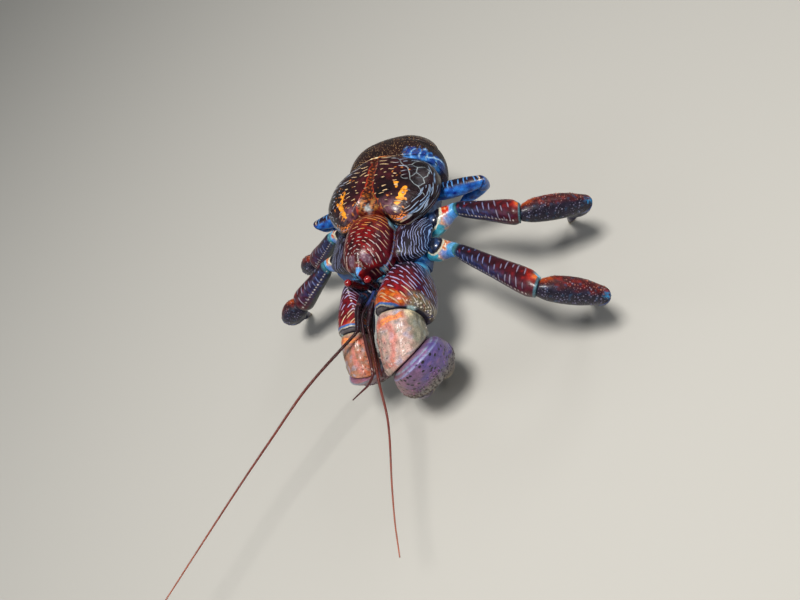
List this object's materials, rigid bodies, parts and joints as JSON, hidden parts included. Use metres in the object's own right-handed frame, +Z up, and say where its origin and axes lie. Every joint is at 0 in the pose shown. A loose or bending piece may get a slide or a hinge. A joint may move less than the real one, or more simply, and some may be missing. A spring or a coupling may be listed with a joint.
{
  "type": "coconut crab",
  "caption": "Life-size still model of a coconut crab (Birgus latro) standing on its claws and walking legs, with long feelers and tucked abdomen.",
  "frame": {"origin": "on the floor under the middle of the model's own box", "axes": "+Z up; the body axis lies along Y with the head and claws towards -Y and the abdomen towards +Y; +X is the animal's own left"},
  "size_m": [0.4028, 0.4976, 0.1572],
  "materials": {
    "carapace_shell": "glossy shell with raised pale wrinkles",
    "shield_shell": "glossy shell with raised pale wrinkles",
    "flank_shell": "satin shell with close pale lines",
    "joint_membrane": "satin blue membrane and thin shell",
    "sternum_shell": "satin shell",
    "abdomen_skin": "leathery skin",
    "tergite_shell": "satin shell with tiny pale dots",
    "face_shell": "satin mottled shell",
    "cornea": "polished red cornea",
    "eyestalk_shell": "glossy shell",
    "feeler_shell": "ringed satin shell",
    "leg_base_shell": "satin shell, pale blue and peach",
    "leg_shell": "satin shell with pale cross dashes",
    "leg_tip_shell": "satin granular shell",
    "claw_arm_shell": "glossy shell with slanting pale dashes",
    "claw_wrist_shell": "satin granular shell",
    "claw_palm_shell": "satin granular shell with dark pits"
  },
  "bodies": {
    "root": {"abdomen": "abdomen_skin", "antenna_left": "face_shell", "antenna_right": "face_shell", "antennule_left": "feeler_shell", "antennule_right": "feeler_shell", "carapace_rear": "carapace_shell", "carapace_shield": "shield_shell", "claw_left_base": "leg_base_shell", "claw_left_carpus": "claw_wrist_shell", "claw_left_finger": "claw_palm_shell", "claw_left_merus": "claw_arm_shell", "claw_left_palm": "claw_palm_shell", "claw_right_base": "leg_base_shell", "claw_right_carpus": "claw_wrist_shell", "claw_right_finger": "claw_palm_shell", "claw_right_merus": "claw_arm_shell", "claw_right_palm": "claw_palm_shell", "eye_left": "cornea", "eye_right": "cornea", "eyestalk_left": "eyestalk_shell", "eyestalk_right": "eyestalk_shell", "face": "face_shell", "flagellum_left": "feeler_shell", "flagellum_right": "feeler_shell", "flank_left": "flank_shell", "flank_right": "flank_shell", "leg2_left_base": "leg_base_shell", "leg2_left_carpus": "leg_shell", "leg2_left_dactyl": "leg_tip_shell", "leg2_left_merus": "leg_shell", "leg2_left_propodus": "leg_tip_shell", "leg2_right_base": "leg_base_shell", "leg2_right_carpus": "leg_shell", "leg2_right_dactyl": "leg_tip_shell", "leg2_right_merus": "leg_shell", "leg2_right_propodus": "leg_tip_shell", "leg3_left_base": "leg_base_shell", "leg3_left_carpus": "leg_shell", "leg3_left_dactyl": "leg_tip_shell", "leg3_left_merus": "leg_shell", "leg3_left_propodus": "leg_tip_shell", "leg3_right_base": "leg_base_shell", "leg3_right_carpus": "leg_shell", "leg3_right_dactyl": "leg_tip_shell", "leg3_right_merus": "leg_shell", "leg3_right_propodus": "leg_tip_shell", "leg4_left_arm": "joint_membrane", "leg4_left_carpus": "joint_membrane", "leg4_left_hand": "joint_membrane", "leg4_right_arm": "joint_membrane", "leg4_right_carpus": "joint_membrane", "leg4_right_hand": "joint_membrane", "maxilliped_left": "face_shell", "maxilliped_right": "face_shell", "tail_fan": "tergite_shell", "tergite_2": "tergite_shell", "tergite_3": "tergite_shell", "tergite_4": "tergite_shell", "tergite_5": "tergite_shell", "thorax": "sternum_shell"}
  },
  "joints": []
}
